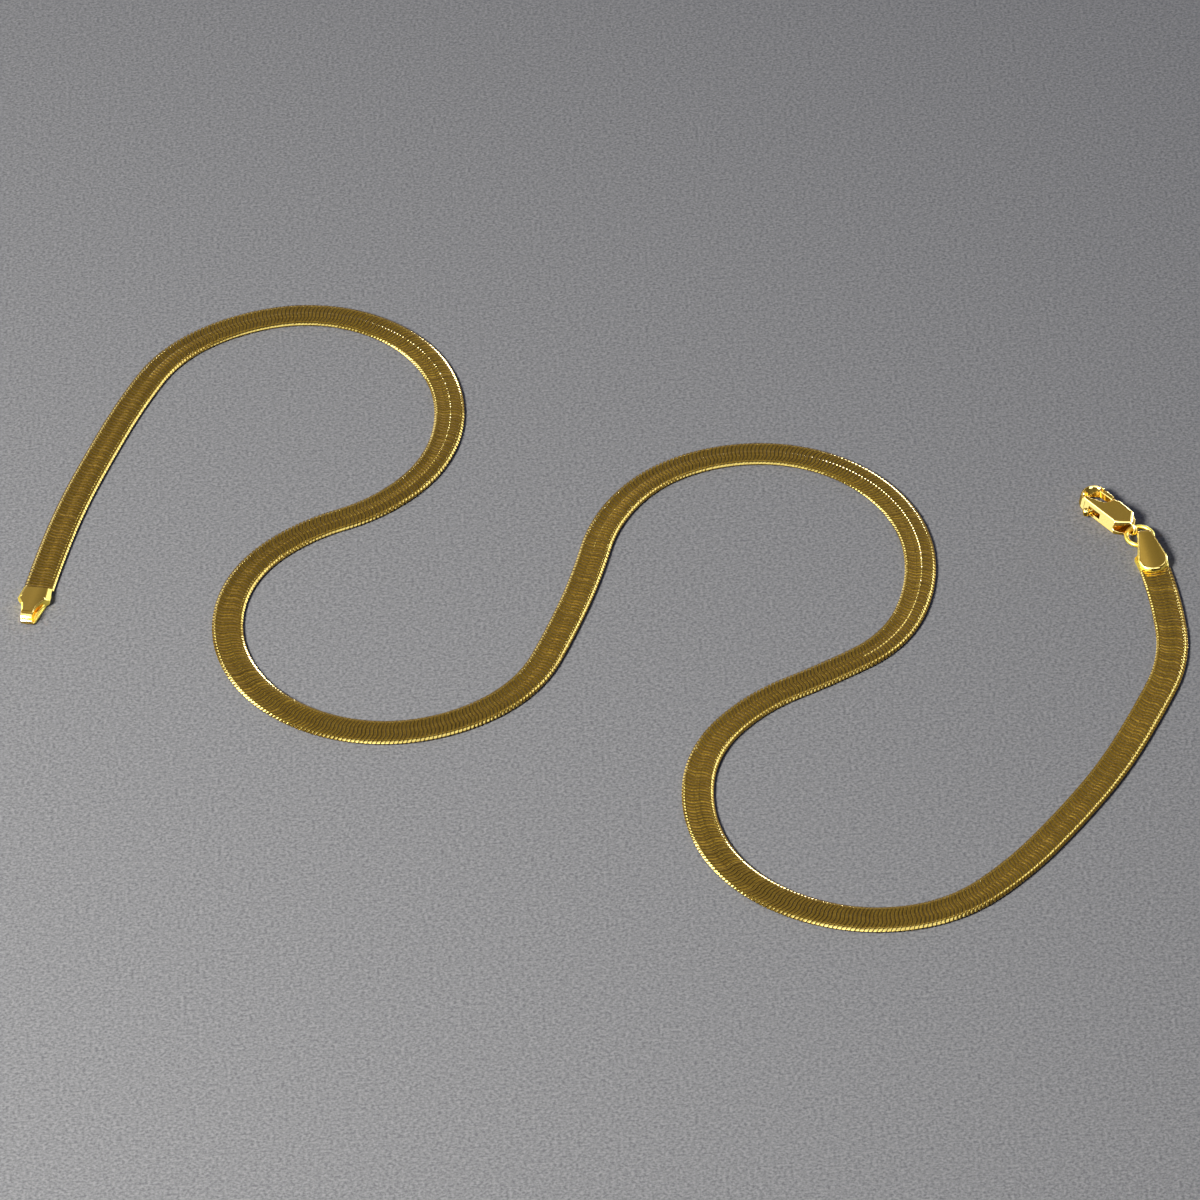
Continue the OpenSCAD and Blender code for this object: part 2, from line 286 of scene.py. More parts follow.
# Golds: the coat over them, the depth of polishing marks in millimetres, and their patches, which
# darken by MOTTLE times a share for red, green and blue, between two levels of the noise
COAT = 0.5
COAT_IOR = 1.6
GRAIN_DEPTH = 0.01
MOTTLE = 0.07
MOTTLE_SHARES = (1, 1.25, 2)
MOTTLE_LEVELS = (0.36, 0.64)
# The woven links' gold is darker than the polished gold: painted shade of the weave
WOVEN_GOLD_WITH_SHADE = (0.69, 0.43, 0.038)
# Painted shade: near-black gold for the link faces that look into the gaps between links
GAP_SHADE_GOLD = (0.05, 0.028, 0.008)
POLISHED_GOLD = (0.86, 0.54, 0.07)
# Rougher gold for the inside of the caps and for the ring, painted a brighter, more saturated yellow:
# painted bounce light
GLOW_MATTE_GOLD = (1.0, 0.72, 0.06)

# Lights: azimuth, elevation, distance, width, height, radiance and shape. Azimuth 0 is away from the
# camera and positive to the right. The key lamp lights the floor; the metal alone mirrors the others
LIGHTS = {
    "key_lamp": (-126, 44, 0.62, 0.19, 0.19, 188.0, "ELLIPSE"),
    "overhead_softbox": (180, 76, 1.0, 0.9, 0.5, 1.8, "RECTANGLE"),
    "front_softbox": (-160, 62, 1.0, 0.35, 0.35, 3.5, "RECTANGLE"),
    "front_right_softbox": (145, 45, 1.0, 0.5, 0.5, 5.0, "RECTANGLE"),
    "left_window": (-85, 22, 1.0, 0.7, 0.75, 1.6, "RECTANGLE"),
    "left_lamp": (-70, 45, 1.0, 0.3, 0.3, 7.0, "RECTANGLE"),
    "back_left_lamp": (-32, 18, 1.2, 0.3, 0.3, 1.2, "RECTANGLE"),
    "back_left_high_lamp": (-40, 38, 1.2, 0.2, 0.2, 4.0, "RECTANGLE"),
    "back_right_lamp": (21, 15, 1.2, 0.23, 0.23, 20.0, "ELLIPSE"),
    "right_lamp": (45, 36, 1.2, 0.26, 0.26, 4.2, "RECTANGLE"),
    "right_high_lamp": (56, 54, 1.2, 0.34, 0.34, 2.4, "RECTANGLE"),
    "right_strip": (52, 6, 1.2, 0.2, 0.28, 30.0, "RECTANGLE"),
}
# The mirrored lights are cold, so that the gold turns them cream and not orange
LAMP_TINT = (0.76, 0.97, 2.0)
# Room: colours level with the part and overhead, brightness by the sine of the elevation between,
# and how blue that is
ROOM_LEVEL = (0.3, 0.3, 0.31, 1)
ROOM_OVERHEAD = (0.2, 0.2, 0.2, 1)
ROOM_SHADES = ((0.3, 0.4), (0.42, 0.6), (0.57, 0.3), (0.707, 0.24), (0.82, 0.34), (0.9, 0.6))
ROOM_BLUE = 1.02
# Large patches in it, and its fall towards the camera's side: a range of the noise, or of the
# direction along y, and the brightness at the two ends of that range
ROOM_PATCHES = (0.3, 0.7, 0.55, 1.35)
ROOM_FALL = (-0.2, 0.4, 0.3, 1.0)
ROOM_PATCH_SCALE = 7.0

# The photograph's camera: a long lens that looks down on the surface
VIEW_LENS = 180.0
VIEW_DISTANCE = 752.9
VIEW_ELEVATION = 45.2
VIEW_ROLL = -3.5
VIEW_TURN = -0.163
VIEW_AIM = (0.34, 0.34)
SENSOR_W = 36.0
VIEW_REACH = 20.0


# Route of the band

def unit(heading):
    """Unit vector in the plane for a heading in degrees."""
    return np.array([math.cos(math.radians(heading)), math.sin(math.radians(heading))])


def chord(turn, run):
    """Straight length between the ends of an arc."""
    half = math.radians(turn) / 2
    return run if turn == 0 else run * math.sin(half) / half


class Route:
    """Middle line of the band: place and heading at any length from the loop end."""

    def __init__(self):
        self.stretch = (CHAIN_LENGTH - LOOP_RUN - CLASP_RUN) / len(BENDS)
        self.starts = [LOOP_RUN * unit(FIRST_HEADING)]
        self.headings = [FIRST_HEADING]
        for turn in BENDS:
            step = chord(turn, self.stretch) * unit(self.headings[-1] + turn / 2)
            self.starts.append(self.starts[-1] + step)
            self.headings.append(self.headings[-1] + turn)

    def at(self, lengths):
        """Places, and headings in radians, for an array of lengths."""
        run = np.asarray(lengths, float) - LOOP_RUN
        index = np.clip(np.floor(run / self.stretch).astype(int), 0, len(BENDS) - 1)
        inside = np.clip(run - index * self.stretch, 0, self.stretch)
        spare = run - index * self.stretch - inside
        before = np.radians(np.array(self.headings)[index])
        half = np.radians(np.array(BENDS, float)[index] * inside / self.stretch) / 2
        reach = inside * np.sinc(half / math.pi)
        place = np.array(self.starts)[index]
        place = place + reach[..., None] * np.stack([np.cos(before + half), np.sin(before + half)], -1)
        heading = before + 2 * half
        place = place + spare[..., None] * np.stack([np.cos(heading), np.sin(heading)], -1)
        return place, heading


def centre_of(low, high):
    """Middle of a box, seen from above."""
    return (np.array(low) + np.array(high))[:2] / 2


def shift_to_part(route):
    """Shift from the route's own frame to the part's, from the band's box in the frame."""
    place, heading = route.at(np.linspace(0, CHAIN_LENGTH, ROUTE_SAMPLES))
    side = np.stack([-np.sin(heading), np.cos(heading)], -1) * CHAIN_W / 2
    edges = np.concatenate([place + side, place - side])
    return centre_of(*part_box("chain_band")) / MM - centre_of(edges.min(0), edges.max(0))


# Meshes

def new_object(name, points, faces, material, sharp=40.0):
    """A mesh object from points in millimetres."""
    mesh = bpy.data.meshes.new(name)
    mesh.from_pydata((np.asarray(points) * MM).tolist(), [], faces)
    mesh.polygons.foreach_set("use_smooth", np.ones(len(mesh.polygons), bool))
    mesh.set_sharp_from_angle(angle=math.radians(sharp))
    mesh.update()
    piece = bpy.data.objects.new(name, mesh)
    bpy.context.scene.collection.objects.link(piece)
    mesh.materials.append(material)
    return piece


def link_slant(across):
    """How far a link leads or lags at a place across the band."""
    distance = np.abs(across)
    blend = np.clip((distance - MIDDLE_HALF) / SLANT_BLEND + 0.5, 0, 1)
    inner = INNER_SLANT * np.minimum(distance, MIDDLE_HALF)
    outer = OUTER_SLANT * np.maximum(distance - MIDDLE_HALF, 0) * blend
    return np.sign(across) * (inner + outer)


def link_stations():
    """Places across the band where a link has a section."""
    half = [*FACE_STATIONS, *(FLAT_HALF + BEVEL_W * np.array(CUT_STATIONS))]
    steps = (-BEAD_GENTLE, -BEAD_TOP, 0, BEAD_BRINK, BEAD_STEEP - BEAD_BRINK, BEAD_STEEP)
    beads = [place + step for place, _ in BEADS for step in steps]
    return np.array(sorted([-v for v in half] + half + beads))


def bead_height(across):
    """Height of each low ridge at places across the band: gentle from the right, steep to the left."""
    heights = []
    for place, height in BEADS:
        away = across - place
        part = np.where(away > 0, away / BEAD_STEEP, -away / BEAD_GENTLE)
        heights.append(height * np.clip(1 - part, 0, 1))
    return heights


def cut_depth(across):
    """Depth of the sloped cut along each edge of the band, which is slightly rounded."""
    part = np.clip((np.abs(across) - FLAT_HALF) / BEVEL_W, 0, 1)
    return BEVEL_D * part ** CUT_ROUND


def link_gaps(across, bend):
    """Gap between neighbours, for each link and each place across the band."""
    fan = CUT_FAN * LINK_PITCH * -bend[:, None] * across[None, :]
    on_cut = np.abs(across) > FLAT_HALF + CUT_INSET
    return np.where(on_cut, np.clip(CUT_GAP + fan, CUT_GAP_LEAST, CUT_GAP_MOST), LINK_GAP)


def link_tops(across, along, swell, rng):
    """Heights of the links' top corners: crowned, each a little tilted and low, with the ridges."""
    part = np.array(LINK_TOP)
    on_cut = np.abs(across) > FLAT_HALF
    crown = np.where(on_cut, CUT_CROWN, FACE_CROWN)
    top = (CHAIN_T - cut_depth(across))[:, None] - crown[:, None] * part ** 2
    top = top - EDGE_DROP * (np.abs(part) == 1) * ~on_cut[:, None]
    tilt = np.tan(np.radians(rng.normal(0, TILT_SPREAD, len(swell))))
    lift = -np.abs(rng.normal(0, HEIGHT_SPREAD, len(swell)))
    tilt = tilt[:, None] * np.where(on_cut, CUT_TILT, 1)
    z = top[None] + tilt[:, :, None] * along + lift[:, None, None]
    for bead in bead_height(across):
        size = swell * rng.uniform(*BEAD_SHARES, len(swell))
        z += size[:, None, None] * (bead[:, None] * (1 - BEAD_FALL * part ** 2))[None]
    return z


def link_points(route, shift, index, rng):
    """Rings of points for the links with the given numbers: link, station, corner, axis."""
    across = link_stations()
    middle = (index + 0.5) * LINK_PITCH
    bend = route_bend(route, middle)
    part = np.array([*LINK_TOP, *LINK_UNDER])
    along = (LINK_PITCH - link_gaps(across, bend))[:, :, None] / 2 * part
    swell = np.clip(-bend * route.stretch / np.radians(BEAD_BEND), BEAD_LEAST, 1)
    tops = len(LINK_TOP)
    z = np.zeros(along.shape)
    z[:, :, :tops] = link_tops(across, along[:, :, :tops], swell, rng)
    z[:, :, tops:] = cut_depth(across)[:, None] + LINK_SKIN * np.abs(LINK_UNDER)
    z = np.clip(z, 0, CHAIN_T + LINK_PROUD)
    fade = np.clip(np.minimum(middle, CHAIN_LENGTH - middle) / SLANT_FADE, 0, 1)
    lead = fade[:, None] * link_slant(across)[None, :]
    place, heading = route.at(np.broadcast_to((middle[:, None] + lead)[:, :, None], along.shape))
    left = np.stack([-np.sin(heading), np.cos(heading)], -1)
    ahead = np.stack([np.cos(heading), np.sin(heading)], -1)
    stretch = 1 - bend[:, None, None] * across[None, :, None]
    plan = place + left * across[None, :, None, None] + ahead * (along * stretch)[..., None]
    return np.concatenate([plan + shift, z[..., None]], -1)


def route_bend(route, lengths):
    """Bend of the band per millimetre, left positive."""
    index = np.clip(((lengths - LOOP_RUN) / route.stretch).astype(int), 0, len(BENDS) - 1)
    return np.radians(np.array(BENDS, float)[index]) / route.stretch


def link_faces(count, stations, corners):
    """Quads round each link, and a face at each of its ends."""
    k = np.arange(corners)
    j = np.arange(stations - 1)
    here = (j[:, None] * corners + k[None, :]).ravel()
    beside = (j[:, None] * corners + (k[None, :] + 1) % corners).ravel()
    quads = np.stack([here, here + corners, beside + corners, beside], -1)
    first = list(range(corners))
    last = [(stations - 1) * corners + c for c in reversed(range(corners))]
    faces = []
    for i in range(count):
        base = i * stations * corners
        faces.extend((quads + base).tolist())
        faces.append([base + c for c in first])
        faces.append([base + c for c in last])
    return faces


def paint_gap_shade(piece, count, stations, corners, material):
    """Paint shade on the faces that look into the gaps between links: they take a near-black gold of
    their own.
    """
    piece.data.materials.append(material)
    strip = np.zeros((stations - 1, corners), int)
    across = link_stations()
    flat = np.abs(across[1:] + across[:-1]) / 2 < FLAT_HALF
    side = len(LINK_TOP) - 1
    strip[flat, 0] = 1
    strip[flat, side - 1] = 1
    strip[:, side:] = 1
    two_ends = [0, 0]
    one = np.concatenate([strip.ravel(), two_ends])
    piece.data.polygons.foreach_set("material_index", np.tile(one, count).astype(np.int32))


def make_band(route, shift, material, gap_shade_material):
    """The woven band, as a few joined meshes of links."""
    rng = np.random.default_rng(SEED)
    total = round(CHAIN_LENGTH / LINK_PITCH)
    for number, start in enumerate(range(0, total, LINKS_PER_PIECE)):
        index = np.arange(start, min(start + LINKS_PER_PIECE, total))
        points = link_points(route, shift, index, rng)
        faces = link_faces(len(index), points.shape[1], points.shape[2])
        name = f"band_links_{number + 1}"
        piece = new_object(name, points.reshape(-1, 3), faces, material, LINK_SHARP)
        # Faces that look into the gaps between links get the near-black gold: painted shade
        paint_gap_shade(piece, *points.shape[:3], gap_shade_material)
        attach(piece, NECKLACE)
        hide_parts("chain_band")


# Solid forms as signed distances in millimetres, negative inside

def circle(x, y, centre, radius):
    """Distance to a circle."""
    return np.hypot(x - centre[0], y - centre[1]) - radius


def polygon(x, y, corners):
    """Distance to a closed outline of straight edges."""
    corners = np.array(corners, float)
    nearest = np.full(np.shape(x), np.inf)
    inside = np.zeros(np.shape(x), bool)
    for a, b in zip(corners, np.roll(corners, -1, axis=0)):
        edge = b - a
        part = np.clip(((x - a[0]) * edge[0] + (y - a[1]) * edge[1]) / edge.dot(edge), 0, 1)
        nearest = np.minimum(nearest, np.hypot(x - a[0] - part * edge[0], y - a[1] - part * edge[1]))
        if a[1] != b[1]:
            crossing = a[0] + (y - a[1]) * edge[0] / edge[1]
            inside ^= ((a[1] > y) != (b[1] > y)) & (x < crossing)
    return np.where(inside, -nearest, nearest)


def belt(x, y, a, radius_a, b, radius_b):
    """Distance to two circles and the straight belt round them."""
    a = np.array(a, float)
    way = np.array(b, float) - a
    span = np.hypot(*way)
    ahead = way / span
    along = (x - a[0]) * ahead[0] + (y - a[1]) * ahead[1]
    side = np.abs((y - a[1]) * ahead[0] - (x - a[0]) * ahead[1])
    lean = (radius_a - radius_b) / span
    rise = math.sqrt(1 - lean * lean)
    level = along * rise - side * lean
    flank = side * rise + along * lean - radius_a
    start = np.hypot(side, along) - radius_a
    end = np.hypot(side, along - span) - radius_b
    return np.where(level < 0, start, np.where(level > rise * span, end, flank))


def both(a, b, radius):
    """What two forms share, with a rounded edge where they meet."""
    corner = np.hypot(np.maximum(a + radius, 0), np.maximum(b + radius, 0))
    return np.minimum(np.maximum(a, b), -radius) + corner


def bevelled(a, b, cut):
    """What two forms share, with a flat cut along the edge where they meet."""
    return np.maximum(np.maximum(a, b), (a + b + cut) * math.sqrt(0.5))


def skin(field, low, high, step):
    """Points, quads and normals of the surface where a field is zero."""
    axes = [np.arange(a - 1.5 * step, b + 2.5 * step, step) for a, b in zip(low, high)]
    value = field(*np.meshgrid(*axes, indexing="ij"))
    inside = value < 0
    cells = np.array(value.shape) - 1
    total = np.zeros((*cells, 3))
    count = np.zeros(cells)
    for axis in range(3):
        others = [k for k in range(3) if k != axis]
        for shift in ((0, 0), (0, 1), (1, 0), (1, 1)):
            start = [0, 0, 0]
            start[others[0]], start[others[1]] = shift
            window = tuple(slice(s, s + n) for s, n in zip(start, cells))
            start[axis] += 1
            beyond = tuple(slice(s, s + n) for s, n in zip(start, cells))
            split = inside[window] != inside[beyond]
            drop = np.where(split, value[window] - value[beyond], 1.0)
            part = np.where(split, value[window] / drop, 0.0)
            total[..., axis] += part
            total[..., others[0]] += split * shift[0]
            total[..., others[1]] += split * shift[1]
            count += split
    used = count > 0
    number = np.full(cells, -1)
    number[used] = np.arange(used.sum())
    corner = np.argwhere(used)
    points = np.stack([axes[k][0] + step * (corner[:, k] + total[used][:, k] / count[used])
                       for k in range(3)], -1)
    quads = []
    for axis in range(3):
        u, v = [(1, 2), (2, 0), (0, 1)][axis]
        first = inside.take(range(cells[axis]), axis)
        second = inside.take(range(1, cells[axis] + 1), axis)
        place = np.argwhere(first != second)
        u_at, v_at = place[:, u], place[:, v]
        place = place[(u_at > 0) & (v_at > 0) & (u_at < cells[u]) & (v_at < cells[v])]
        outward = first[tuple(place.T)]
        ring = []
        for back_u, back_v in ((1, 1), (0, 1), (0, 0), (1, 0)):
            cell = place.copy()
            cell[:, u] -= back_u
            cell[:, v] -= back_v
            ring.append(number[tuple(cell.T)])
        ring = np.stack(ring, -1)
        quads.append(np.where(outward[:, None], ring, ring[:, ::-1]))
    for _ in range(SKIN_PASSES):
        points = points - np.clip(field(*points.T), -step, step)[:, None] * slope(field, points)
    return points, np.concatenate(quads), slope(field, points)


def slope(field, points, reach=0.01):
    """Unit direction in which a field grows fastest."""
    steps = reach * np.eye(3)
    gradient = np.stack([field(*(points + step).T) - field(*(points - step).T) for step in steps], -1)
    return gradient / np.maximum(np.linalg.norm(gradient, axis=1, keepdims=True), 1e-9)


def solid(name, field, low, high, step, place, heading, material, inner=None):
    """A mesh of a form drawn along +X, put at a place with a heading in degrees."""
    points, quads, normals = skin(field, low, high, step)
    normals[:, 2] += WALL_LIFT * (1 - normals[:, 2] ** 2)
    if inner is not None:
        plate = inner(points[:, 0], points[:, 2]) & (normals[:, 2] > FACES_UP)
        normals[:, 0] -= INNER_LEAN * plate
    normals /= np.linalg.norm(normals, axis=1, keepdims=True)
    across = np.array([-unit(heading)[1], unit(heading)[0]])
    turn = np.zeros((3, 3))
    turn[:2, 0] = unit(heading)
    turn[:2, 1] = across
    turn[2, 2] = 1
    points = points @ turn.T + [place[0], place[1], 0]
    piece = new_object(name, points, quads.tolist(), material, ALL_SMOOTH)
    piece.data.normals_split_custom_set_from_vertices((normals @ turn.T).tolist())
    return piece


# End caps, drawn along +X from the fold of the eye

def cap_side(x, z):
    """Side outline of a cap: the round fold and the straight run down to the band's mouth."""
    corner = np.array([PEAR_LENGTH, CAP_MOUTH_H])
    centre = np.array([EYE_R, EYE_R])
    away = corner - centre
    angle = math.degrees(math.atan2(away[1], away[0]) + math.acos(EYE_R / np.hypot(*away)))
    touch = centre + EYE_R * unit(angle)
    straight = polygon(x, z, [(EYE_R, 0), (PEAR_LENGTH, 0), corner, touch, centre])
    return np.minimum(circle(x, z, centre, EYE_R), straight)


def fold_side(x, z):
    """Side of the cap whose fold is two rolls with a seam between."""
    plain = cap_side(x, z)
    upper = np.maximum(plain, SEAM_Z - z)
    behind = np.maximum(plain, ROLL_R - x)
    below = np.maximum(plain, z - ROLL_Z)
    roll = circle(x, z, (ROLL_R, ROLL_Z), ROLL_R)
    return np.minimum(np.minimum(upper, behind), np.minimum(below, roll))


def eye_side(x, z):
    """Side outline of the opening between a cap's two plates."""
    inner = EYE_R - SHEET_T
    start = inner - EYE_STEP
    opening = polygon(x, z, [(EYE_R, EYE_R - start),
                             (EYE_END - EYE_NOSE, NOSE_Z - EYE_NOSE),
                             (EYE_END, NOSE_Z - EYE_NOSE / 2),
                             (EYE_END, NOSE_Z + EYE_NOSE / 2),
                             (EYE_END - EYE_NOSE, NOSE_Z + EYE_NOSE),
                             (EYE_R, EYE_R + start)])
    return np.minimum(circle(x, z, (EYE_R, EYE_R), inner), opening)


def bottle_plan(x, y):
    """Plan of the plate with a neck, shoulders and a narrower mouth."""
    side = np.abs(y)
    flank_y = (SHOULDER_W - NECK_W) / 2
    flank_x = SHOULDER_AT - NECK_LENGTH
    flank_r = (flank_x ** 2 + flank_y ** 2) / (2 * flank_y)
    plate = polygon(x, side, [(-1, -1),
                              (-1, NECK_W / 2),
                              (NECK_LENGTH, NECK_W / 2),
                              (NECK_LENGTH, SHOULDER_W / 2),
                              (SHOULDER_AT, SHOULDER_W / 2),
                              (CAP_LENGTH, MOUTH_W / 2),
                              (CAP_LENGTH, -1)])
    return np.maximum(plate, -circle(x, side, (NECK_LENGTH, NECK_W / 2 + flank_r), flank_r))


def pear_plan(x, y):
    """Plan of the plate that widens to a round end."""
    centre = np.array([PEAR_LENGTH - PEAR_R, 0])
    tip = np.array([0, NECK_W / 2])
    away = tip - centre
    angle = math.degrees(math.atan2(away[1], away[0]) - math.acos(PEAR_R / np.hypot(*away)))
    touch = centre + PEAR_R * unit(angle)
    taper = polygon(x, np.abs(y), [(-1, -1), (0, -1), (touch[0], -1), touch, tip, (-1, NECK_W / 2)])
    return np.minimum(circle(x, y, centre, PEAR_R), taper)


def cap_field(split, low_plan, high_plan):
    """Form of a cap whose lower plate ends and upper plate begins at a height."""
    def field(x, y, z):
        side = fold_side(x, z) if high_plan is bottle_plan else cap_side(x, z)
        arched = side + PLATE_ARCH * y ** 2 * np.clip(z / CAP_MOUTH_H, 0, 1)
        low = both(low_plan(x, y), np.maximum(side, z - split), CAP_EDGE)
        if high_plan is bottle_plan:
            shoulder = np.clip((x - SHOULDER_AT + BEVEL_BEFORE) / BEVEL_BLEND, 0, 1)
            high = bevelled(high_plan(x, y), arched, CAP_EDGE + shoulder * CAP_BEVEL)
        else:
            high = both(high_plan(x, y), arched, PEAR_EDGE)
        high = np.maximum(high, split - z)
        form = both(np.minimum(low, high), -eye_side(x, z), EYE_EDGE)
        pocket_side = np.abs(y) - POCKET_W / 2
        pocket_level = np.abs(z - (PLATE_T + POCKET_TOP) / 2) - (POCKET_TOP - PLATE_T) / 2
        pocket = np.maximum(pocket_side, pocket_level)
        return np.maximum(form, -np.maximum(pocket, POCKET_FROM - x))
    return field


def make_cap(name, node, place, heading, split, low_plan, high_plan, material, glow_material):
    """An end cap whose inside takes a rougher gold with painted bounce light, a brighter and more
    saturated yellow.
    """
    def on_lower_plate(x, z):
        return (z < split + INNER_ABOVE) & (x > ROLL_R + INNER_BEYOND)

    field = cap_field(split, low_plan, high_plan)
    low = (0, -SHOULDER_W / 2, 0)
    high = (PEAR_LENGTH, SHOULDER_W / 2, 2 * EYE_R)
    piece = solid(name, field, low, high, CAP_STEP, place, heading, material, on_lower_plate)
    centres = np.zeros(len(piece.data.polygons) * 3)
    piece.data.polygons.foreach_get("center", centres)
    centres = centres.reshape(-1, 3)
    along = (centres[:, :2] / MM - place) @ unit(heading)
    height = centres[:, 2] / MM
    # These inner faces take the gold with painted bounce light
    inner = (cap_side(along, height) < -INNER_SKIN) | on_lower_plate(along, height)
    piece.data.materials.append(glow_material)
    piece.data.polygons.foreach_set("material_index", inner.astype(np.int32))
    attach(piece, NECKLACE)
    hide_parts(node)


# Clasp, drawn along +X from the point that hangs on the ring, with its spine towards +Y

def hook_field(x, y, z):
    """Form of the hook: a rounded wire bent to most of a circle, cut off at both ends."""
    far = np.hypot(x - HOOK_X, y)
    wire = np.abs(far - HOOK_R + HOOK_W / 2) - HOOK_W / 2
    level = np.abs(z - CLASP_H / 2) - (CLASP_H / 2 - HOOK_Z0)
    bar = both(wire + WALL_TAPER * np.clip(z - HOOK_EDGE, 0, CLASP_H), level, HOOK_EDGE)
    first, last = unit(HOOK_FROM), unit(HOOK_TO)
    after_last = -(last[0] * y - last[1] * (x - HOOK_X))
    before_first = first[0] * y - first[1] * (x - HOOK_X)
    return both(bar, -np.maximum(after_last, before_first), HOOK_END_EDGE)


def plate_plan(x, y):
    """Plan of the clasp's tail and plate, from the tail's near side round to its far side."""
    half = CLASP_W / 2
    end = HOOK_X - PLATE_BACK
    return polygon(x, y, [(-1, -TAIL_W / 2),
                          (NECK_X, -TAIL_W / 2),
                          (FLARE_X - FLARE_NEAR[0], -half + FLARE_NEAR[1]),
                          (FLARE_X, -half),
                          (end - END_SWELL[0], -half - END_SWELL[1]),
                          (end, -half + END_CUT),
                          (end + END_TIP[0], END_TIP[1]),
                          (HOOK_X + SPINE_AHEAD, SPINE_INNER_Y),
                          (HOOK_X + SPINE_AHEAD, HOOK_R - SPINE_DROP),
                          (HOOK_X, HOOK_R),
                          (FLARE_X, half),
                          (FLARE_X - FLARE_FAR[0], half - FLARE_FAR[1]),
                          (NECK_X, TAIL_W / 2),
                          (-1, TAIL_W / 2)])


def gap_plan(x, y):
    """Plan of the gap that the gate closes, with the notch in the hook's tip."""
    gap_in = HOOK_X - GAP_BACK
    gap_out = HOOK_X - GAP_FRONT
    notch_x = HOOK_X + NOTCH_AHEAD
    return polygon(x, y, [(gap_in, -BEYOND),
                          (gap_out, -BEYOND),
                          (gap_out, NOTCH_Y),
                          (notch_x, NOTCH_Y),
                          (notch_x, GAP_TOP),
                          (gap_in, GAP_TOP)])


def hollow_field(x, y, z):
    """Room for the lever inside the plate, and the window for it through the spine."""
    gap_in = HOOK_X - GAP_BACK
    spine_y = CLASP_W / 2 - SPINE_W
    back = PIVOT[0] - HOLLOW_BACK
    near, far = PIVOT[0] + WINDOW_FROM, PIVOT[0] + WINDOW_TO
    hollow = polygon(x, y, [(back, -BEYOND),
                            (gap_in + HOLLOW_AHEAD, -BEYOND),
                            (gap_in + HOLLOW_AHEAD, 0),
                            (far, WINDOW_Y),
                            (far, spine_y),
                            (back + HOLLOW_CORNER, spine_y),
                            (back, HOLLOW_Y)])
    slit = np.maximum(np.abs(x - (near + far) / 2) - (far - near) / 2, -y)
    level = np.abs(z - CLASP_H / 2) - LEVER_T / 2 - LEVER_GAP
    return np.maximum(np.minimum(hollow, slit), level)


def clasp_field(x, y, z):
    """Form of the clasp's body."""
    tail_r = CLASP_H / 2
    tail_x = tail_r - TAIL_BACK
    side = np.hypot(np.minimum(x - tail_x, 0), z - tail_r) - tail_r
    taper = WALL_TAPER * np.clip(z - CLASP_EDGE, 0, CLASP_H)
    body = both(plate_plan(x, y) + taper, side, CLASP_EDGE)
    body = np.minimum(body, hook_field(x, y, z))
    eye = belt(x, y, (HOOK_X, 0), HOOK_R - HOOK_W, (HOOK_X - EYE_BACK, EYE_LOW_Y), EYE_LOW_R)
    body = both(body, -eye, OPENING_EDGE)
    body = both(body, -gap_plan(x, y), GAP_EDGE)
    body = both(body, -hollow_field(x, y, z), HOLLOW_EDGE)
    slot = belt(x, z, (tail_x, tail_r), tail_r - TAIL_SHEET, (TAIL_SLOT_END, tail_r), TAIL_SLOT_R)
    body = both(body, -slot, HOLLOW_EDGE)
    bore = np.maximum(circle(x, y, PIVOT, PIN_D / 2 + PIN_GAP), z - (CLASP_H - BORE_FLOOR + PIN_GAP))
    return np.maximum(body, -bore)


def gate_plan(x, y):
    """Plan of the lever's wide end, which closes the gap and reaches into the hook's notch."""
    gate_from = HOOK_X - PLATE_BACK + GATE_INSET
    gate_to = HOOK_X - GAP_FRONT - GATE_SPARE
    finger_to = HOOK_X + NOTCH_AHEAD - FINGER_SPARE
    finger_y = NOTCH_Y + LEVER_GAP
    return polygon(x, y, [(gate_from, GATE_Y),
                          (gate_to, GATE_Y),
                          (gate_to, finger_y),
                          (finger_to, finger_y),
                          (finger_to, GATE_Y + GATE_W + FINGER_RISE),
                          (gate_from, GATE_Y + GATE_W)])


def lever_field(x, y, z):
    """Form of the lever: hub, arm through the window, thumb tab and gate."""
    knee, way, tab = PIVOT + KNEE, PIVOT + WAY, PIVOT + TAB
    root = HOOK_X - PLATE_BACK + GATE_INSET + ROOT_INSET
    arm = np.minimum(circle(x, y, PIVOT, HUB_R), belt(x, y, PIVOT, ARM_R, knee, KNEE_R))
    arm = np.minimum(arm, belt(x, y, knee, KNEE_R, way, WAY_R))
    arm = np.minimum(arm, belt(x, y, way, WAY_R, tab, WAY_R))
    arm = np.minimum(arm, polygon(x, y, [(PIVOT[0], PIVOT[1] - HUB_R),
                                         (root, GATE_Y),
                                         (root, GATE_Y + GATE_W),
                                         (PIVOT[0] + ROOT_CORNER[0], PIVOT[1] + ROOT_CORNER[1])]))
    thick = np.abs(z - CLASP_H / 2)
    thin = both(arm, thick - LEVER_T / 2, LEVER_EDGE)
    wide = both(gate_plan(x, y), thick - GATE_T / 2, GATE_EDGE)
    wide = np.minimum(wide, both(circle(x, y, tab, TAB_R), thick - GATE_T / 2, TAB_EDGE))
    return np.maximum(np.minimum(thin, wide), -circle(x, y, PIVOT, PIN_D / 2 + BORE_GAP))


